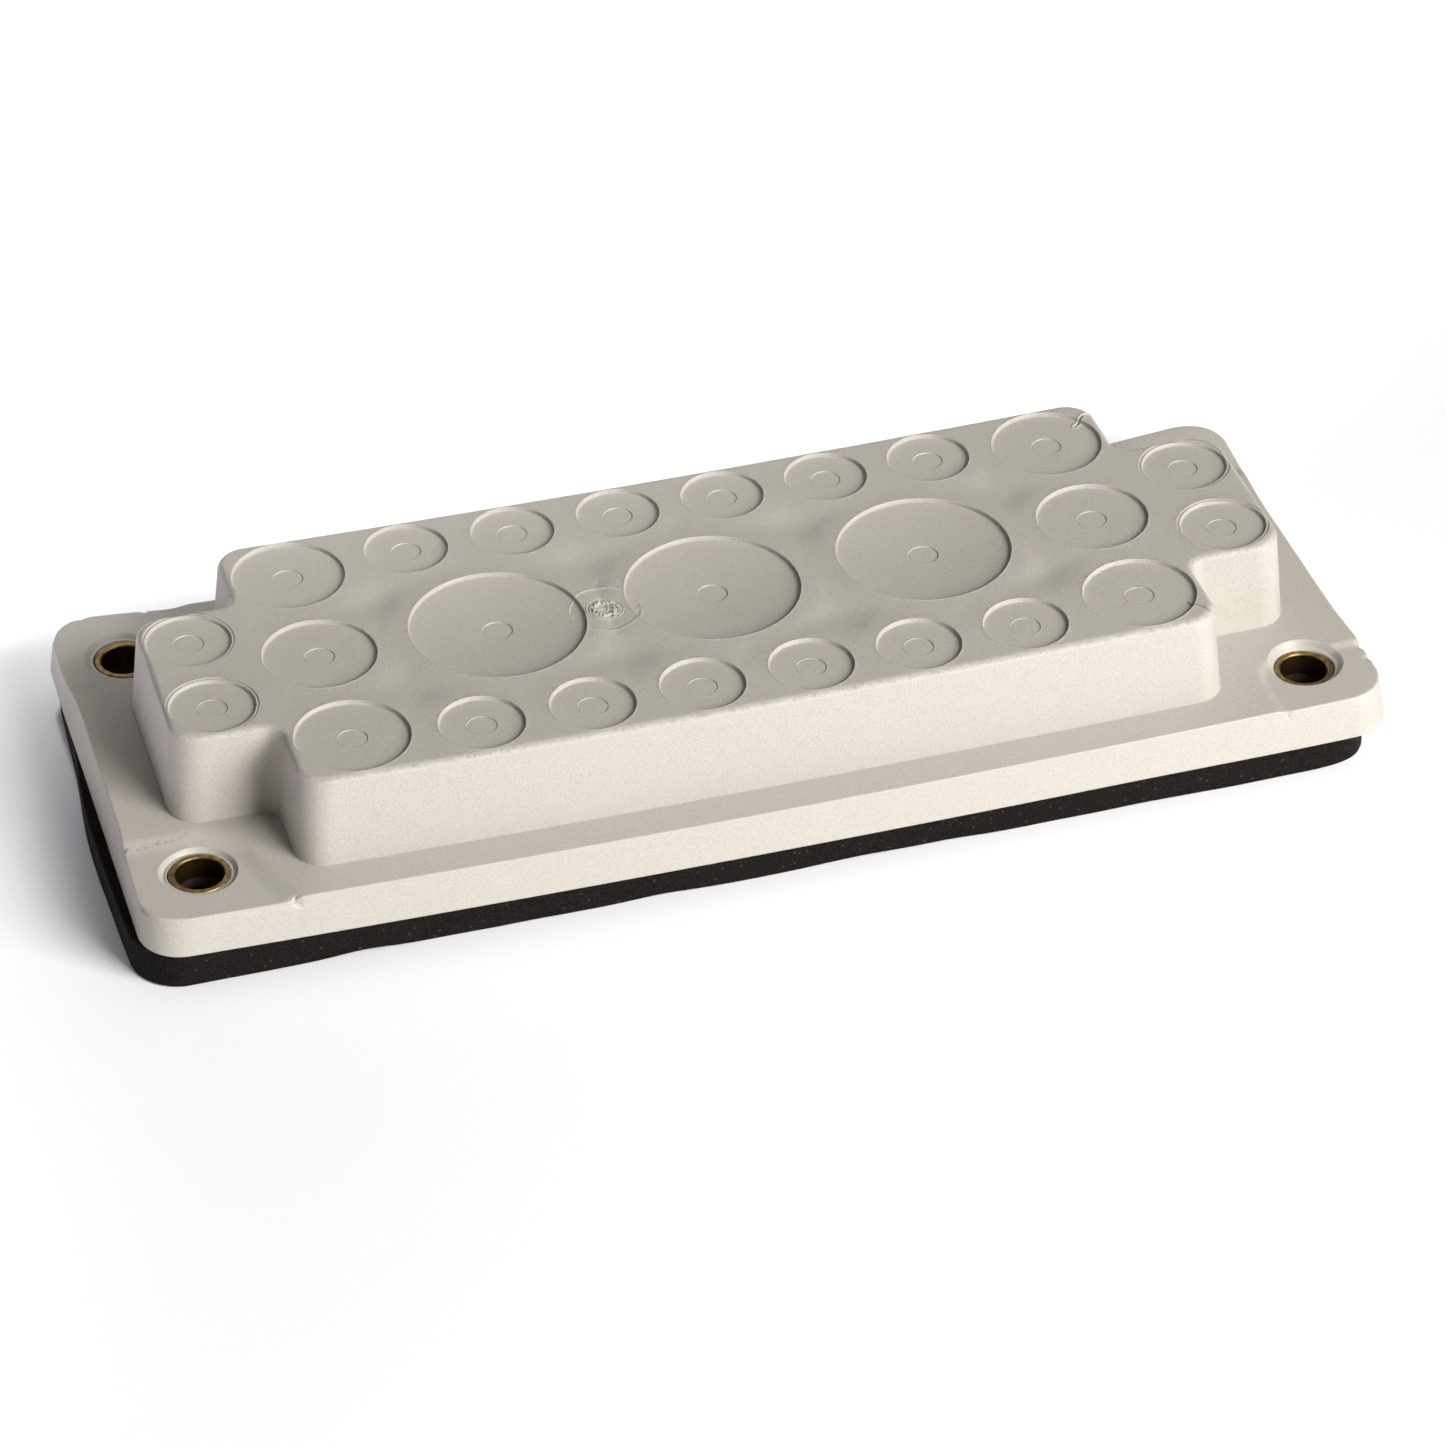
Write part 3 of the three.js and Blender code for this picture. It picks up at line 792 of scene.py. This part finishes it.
def brass_material():
    material, tree = new_material("tarnished_brass")
    place = add_node(tree, "ShaderNodeTexCoord").outputs["Object"]
    stain = noise_value(tree, place, 900.0, 5.0, 0.65)
    spread = remapped(tree, stain, 0.36, 0.66)
    base = mixed(tree, spread, (0.235, 0.145, 0.06, 1), (0.5, 0.345, 0.16, 1))
    specks = placed_group(tree, SPECKS, {"Scale": 1500.0, "Radius": 0.3, "Share": 0.3})
    base = mixed(tree, specks.outputs["Mask"], base, (0.12, 0.07, 0.035, 1))
    # Painted shade: the sleeve's inner wall is coloured very dark, where little light reaches.
    bore = add_node(tree, "ShaderNodeAttribute", attribute_name="bore")
    base = mixed(tree, bore.outputs["Fac"], base, (0.085, 0.045, 0.02, 1))
    rough = remapped(tree, stain, 0.0, 1.0, 0.55, 0.34)
    skin = placed_group(tree, GRAIN, {"Scale": 4200.0})
    bump = add_node(tree, "ShaderNodeBump", {"Height": skin.outputs["Height"], "Distance": 0.02 * MM})
    shader = add_node(
        tree, "ShaderNodeBsdfPrincipled",
        {"Base Color": base, "Roughness": rough, "Metallic": 1.0, "Normal": bump.outputs["Normal"]},
    )
    add_node(tree, "ShaderNodeOutputMaterial", {"Surface": shader.outputs["BSDF"]})
    return material


BRASS = brass_material()
for node_name in ("sleeve_front_left", "sleeve_front_right", "sleeve_back_left", "sleeve_back_right"):
    low, high = (Vector(corner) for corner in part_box(node_name))
    outer = (high.x - low.x) / 2
    inner = outer - SLEEVE_WALL
    sleeve_bm = turned(
        [
            (inner, low.z + SLEEVE_INNER_CHAMFER), (inner + SLEEVE_INNER_CHAMFER, low.z),
            (outer - SLEEVE_OUTER_CHAMFER, low.z), (outer, low.z + SLEEVE_OUTER_CHAMFER),
            (outer, high.z - SLEEVE_OUTER_CHAMFER), (outer - SLEEVE_OUTER_CHAMFER, high.z),
            (inner + SLEEVE_INNER_CHAMFER, high.z), (inner, high.z - SLEEVE_INNER_CHAMFER),
            (inner, low.z + SLEEVE_INNER_CHAMFER),
        ],
        96, ((low.x + high.x) / 2, (low.y + high.y) / 2),
    )
    seat = (low + high) / 2
    lifted_by = bow(seat.x) + lean(seat.x, seat.y, 0.5)
    bmesh.ops.translate(sleeve_bm, vec=(0, 0, lifted_by), verts=sleeve_bm.verts)
    sleeve = new_object("brass_" + node_name, sleeve_bm)
    # The bore attribute marks the inner wall for painted shade.
    bore = sleeve.data.attributes.new("bore", "FLOAT", "POINT")
    axis = (low + high) / 2
    for vert in sleeve.data.vertices:
        from_axis = math.hypot(vert.co.x - axis.x, vert.co.y - axis.y)
        bore.data[vert.index].value = 0.92 if from_axis < inner + 0.02 * MM else 0.0
    finish_shading(sleeve, 30)
    sleeve.data.materials.append(BRASS)
    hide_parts(node_name)
    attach(sleeve, "root")

# ---------------------------------------------------------------------------
# Foam gasket. A ring die-cut from closed-cell foam sheet and stuck under the
# flange by hand, so it lies a little to the left and its underside is wavy.
# ---------------------------------------------------------------------------
foam_low, foam_high = (Vector(corner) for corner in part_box("foam_gasket"))
FOAM_CORNER = 9 * MM
FOAM_EDGE = 0.35 * MM
FOAM_HOLE = 5 * MM
WINDOW_END = (102.5 * MM, 20 * MM)
WINDOW_MAIN = (86 * MM, 36.5 * MM)
WINDOW_CORNER = 3 * MM
# where the front strip's underside stands off the surface: place along x, height, spread, in mm
FRONT_WAVES = [(-76, 0.62, 6), (-22, 0.2, 5), (15, 0.34, 8), (30, 0.2, 5), (66, 0.2, 6), (105, 0.5, 4)]
END_LIFT = 0.08 * MM
FOAM_MESH = 2.6 * MM
FOAM_BULGE = 0.9 * MM
FOAM_SLIP = 2.2 * MM
FOAM_WAVER = 0.25 * MM


def foam_lift(x, y):
    """How far the underside stands above the surface it lies on."""
    front = 1 - smooth(-40 * MM, 0, y)
    wave = sum(
        height * MM * math.exp(-(((x / MM - place) / spread) ** 2)) for place, height, spread in FRONT_WAVES
    )
    laid = 0.3 * MM * noise.noise(Vector((x, y, 5)) * 35)
    return max(0, END_LIFT * smooth(48 * MM, 88 * MM, abs(x)) + front * wave + (1 - 0.7 * front) * laid)


def foam_ring():
    middle_x = (foam_low.x + foam_high.x) / 2
    half_x, half_y = (foam_high.x - foam_low.x) / 2, foam_high.y
    corners = [(middle_x + x * half_x, y * half_y) for x, y in [(1, -1), (1, 1), (-1, 1), (-1, -1)]]
    slab = bmesh.new()
    face = slab.faces.new([slab.verts.new((x, y, foam_low.z)) for x, y in corners])
    lifted = bmesh.ops.extrude_face_region(slab, geom=[face])["geom"]
    upper = [g for g in lifted if isinstance(g, bmesh.types.BMVert)]
    bmesh.ops.translate(slab, vec=(0, 0, foam_high.z - foam_low.z), verts=upper)
    bmesh.ops.recalc_face_normals(slab, faces=slab.faces[:])
    round_edges(slab, upright, FOAM_CORNER, 16)
    round_edges(slab, level_at(foam_low.z), FOAM_EDGE, 3)
    round_edges(slab, level_at(foam_high.z), FOAM_EDGE, 3)
    outline = cross_corners(WINDOW_END, WINDOW_MAIN)
    window = drafted_block(outline, foam_low.z - 1 * MM, foam_high.z + 1 * MM, 0)
    round_edges(window, upright, WINDOW_CORNER, 6)
    for place in SCREWS:
        hole = [(0, foam_low.z - 1 * MM), (FOAM_HOLE, foam_low.z - 1 * MM), (FOAM_HOLE, foam_high.z + 1 * MM)]
        join_into(window, turned(hole + [(0, foam_high.z + 1 * MM)], 64, place))
    return combine(slab, window, "DIFFERENCE")


def shape_foam(bm):
    """The top follows the bowed plate, the underside follows foam_lift, and the edges waver."""
    height = foam_high.z - foam_low.z
    for _ in range(8):
        too_long = [edge for edge in bm.edges if edge.calc_length() > FOAM_MESH]
        if not too_long:
            break
        bmesh.ops.subdivide_edges(bm, edges=too_long, cuts=1)
        bmesh.ops.triangulate(bm, faces=[face for face in bm.faces if len(face.verts) > 3])
    for vert in bm.verts:
        co = vert.co
        down = (foam_high.z - co.z) / height
        co.z += down * foam_lift(co.x, co.y) + (1 - down) * (bow(co.x) + lean(co.x, co.y, 0))
        bulge = FOAM_BULGE * (1 - (co.y / foam_high.y) ** 2)
        if co.x < foam_low.x + 13 * MM:
            slip = FOAM_SLIP * smooth(-8 * MM, 28 * MM, co.y)
            co.x += (slip + 0.5 * MM - bulge) * (1 - smooth(0, 12 * MM, co.x - foam_low.x))
        soft = Vector((co.x, co.y, 0)) * 60
        co.x += FOAM_WAVER * noise.noise(soft) * (0.4 + down)
        co.y += FOAM_WAVER * noise.noise(soft + Vector((7, 3, 1))) * (0.4 + down)


def foam_material():
    material, tree = new_material("closed_cell_foam")
    place = add_node(tree, "ShaderNodeTexCoord").outputs["Object"]
    cells = add_node(tree, "ShaderNodeTexVoronoi", {"Vector": place, "Scale": 2300.0})
    cloud = noise_value(tree, place, 260.0, 4.0, 0.7)
    fine = noise_value(tree, place, 3600.0, 2.0, 0.7)
    base = mixed(tree, cloud, (0.0019, 0.0015, 0.0014, 1), (0.0042, 0.0034, 0.0031, 1))
    base = mixed(tree, remapped(tree, fine, 0.44, 0.68), base, (0.0175, 0.0138, 0.0122, 1))
    specks = placed_group(tree, SPECKS, {"Scale": 900.0, "Radius": 0.24, "Share": 0.3})
    base = mixed(tree, specks.outputs["Mask"], base, (0.036, 0.03, 0.027, 1))
    skin = placed_group(tree, GRAIN, {"Scale": 1500.0})
    height = maths(tree, "ADD", skin.outputs["Height"], cells.outputs["Distance"])
    bump = add_node(tree, "ShaderNodeBump", {"Height": height, "Distance": 0.09 * MM})
    shader = add_node(
        tree, "ShaderNodeBsdfPrincipled",
        {"Base Color": base, "Roughness": 0.8, "Specular IOR Level": 0.09, "Normal": bump.outputs["Normal"]},
    )
    add_node(tree, "ShaderNodeOutputMaterial", {"Surface": shader.outputs["BSDF"]})
    return material


foam_bm = foam_ring()
bmesh.ops.triangulate(foam_bm, faces=foam_bm.faces[:])
shape_foam(foam_bm)
gasket = new_object("foam_ring", foam_bm)
finish_shading(gasket, 45)
gasket.data.materials.append(foam_material())
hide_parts("foam_gasket")
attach(gasket, "root")
